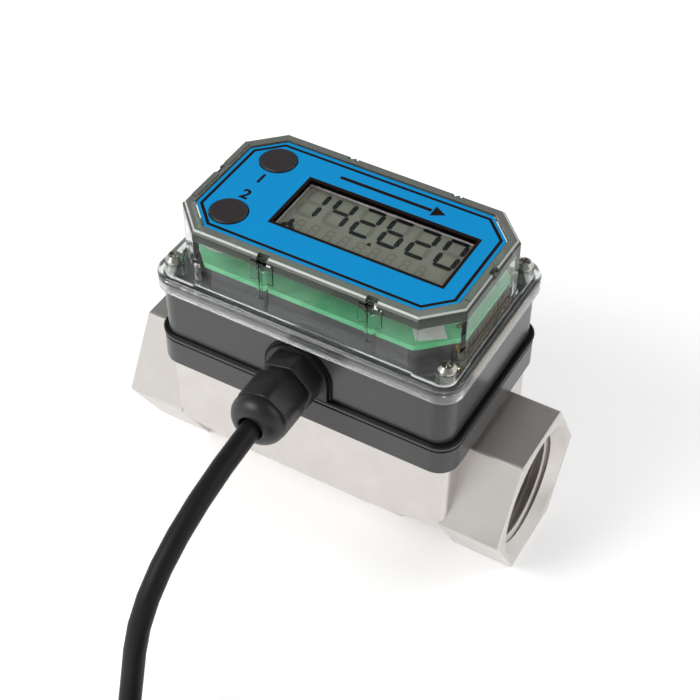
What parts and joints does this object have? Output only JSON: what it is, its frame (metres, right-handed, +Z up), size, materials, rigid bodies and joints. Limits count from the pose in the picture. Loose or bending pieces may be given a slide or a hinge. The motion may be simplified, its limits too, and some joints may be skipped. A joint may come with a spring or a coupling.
{
  "type": "turbine flow meter",
  "caption": "In-line turbine flow meter: hexagon-ended steel body with threaded ports, sealed display module with clear cover, push buttons, and a glanded signal cable.",
  "frame": {"origin": "centre of the metal body's underside, at the middle of its length, on the surface that it stands on", "axes": "+X along the flow towards the outlet, +Z up out of the display, -Y the side that the cable leaves"},
  "size_m": [0.1646, 0.2096, 0.0921],
  "materials": {
    "body_steel": "satin machined stainless steel",
    "support_steel": "machined stainless steel",
    "ring_steel": "spring steel",
    "rotor_steel": "machined stainless steel",
    "bearing_ceramic": "ground ceramic",
    "seal_rubber": "moulded black rubber",
    "housing_plastic": "moulded dark grey plastic",
    "cover_plastic": "clear moulded polycarbonate",
    "label_film": "printed blue film with a black border",
    "button_rubber": "moulded black rubber",
    "guide_plastic": "moulded grey plastic",
    "frame_plastic": "moulded brown-grey plastic",
    "display_glass": "reflective liquid-crystal glass",
    "contact_rubber": "elastomer strip",
    "board_laminate": "green solder mask on laminate",
    "carrier_plastic": "moulded dark plastic",
    "cell_wrap": "shrink-wrapped cell",
    "pin_brass": "gold-plated pins",
    "coil_wire": "enamelled copper wire",
    "screw_steel": "plated steel",
    "gland_plastic": "moulded black nylon",
    "gland_rubber": "moulded rubber bush",
    "cable_sheath": "black PVC sheath",
    "lead_insulation": "coloured insulation with bare copper tips"
  },
  "bodies": {
    "meter": {"arch_seal": "seal_rubber", "back_contact_strip": "contact_rubber", "base_housing": "housing_plastic", "base_screw_1": "screw_steel", "base_screw_2": "screw_steel", "base_screw_3": "screw_steel", "base_screw_4": "screw_steel", "battery_cell_1": "cell_wrap", "battery_cell_2": "cell_wrap", "board_pins": "pin_brass", "body_seal": "seal_rubber", "button_guide": "guide_plastic", "cable": "cable_sheath", "cable_coil": "cable_sheath", "cable_leads": "lead_insulation", "cable_tail": "cable_sheath", "circuit_board": "board_laminate", "clear_cover": "cover_plastic", "coil_bobbin": "carrier_plastic", "coil_winding": "coil_wire", "cover_screw_1": "screw_steel", "cover_screw_2": "screw_steel", "cover_screw_3": "screw_steel", "cover_screw_4": "screw_steel", "cover_seal": "seal_rubber", "display_frame": "frame_plastic", "face_label": "label_film", "front_contact_strip": "contact_rubber", "gland_body": "gland_plastic", "gland_insert": "gland_rubber", "gland_locknut": "gland_plastic", "gland_nut": "gland_plastic", "gland_plate": "gland_plastic", "inlet_retaining_ring": "ring_steel", "inlet_rotor_support": "support_steel", "inlet_shaft_bearing": "bearing_ceramic", "lcd_glass": "display_glass", "lower_switch": "guide_plastic", "meter_body": "body_steel", "module_carrier": "carrier_plastic", "module_housing": "housing_plastic", "outlet_retaining_ring": "ring_steel", "outlet_rotor_support": "support_steel", "outlet_shaft_bearing": "bearing_ceramic", "pin_bar": "carrier_plastic", "seam_gasket": "seal_rubber", "upper_switch": "guide_plastic"},
    "rotor": {"turbine_rotor": "rotor_steel", "rotor_shaft": "rotor_steel"},
    "upper_button": {"upper_button": "button_rubber"},
    "lower_button": {"lower_button": "button_rubber"}
  },
  "joints": [
    {"name": "rotor_spin", "type": "hinge", "parent": "meter", "child": "rotor", "pos_m": [0, 0, 0.02075], "axis": [1, 0, 0], "continuous": true},
    {"name": "upper_button_press", "type": "slide", "parent": "meter", "child": "upper_button", "axis": [0, 0, -1], "range_m": [0, 0.0006], "stiffness_N_per_m": 1500, "springref_m": -0.0003},
    {"name": "lower_button_press", "type": "slide", "parent": "meter", "child": "lower_button", "axis": [0, 0, -1], "range_m": [0, 0.0006], "stiffness_N_per_m": 1500, "springref_m": -0.0003}
  ]
}
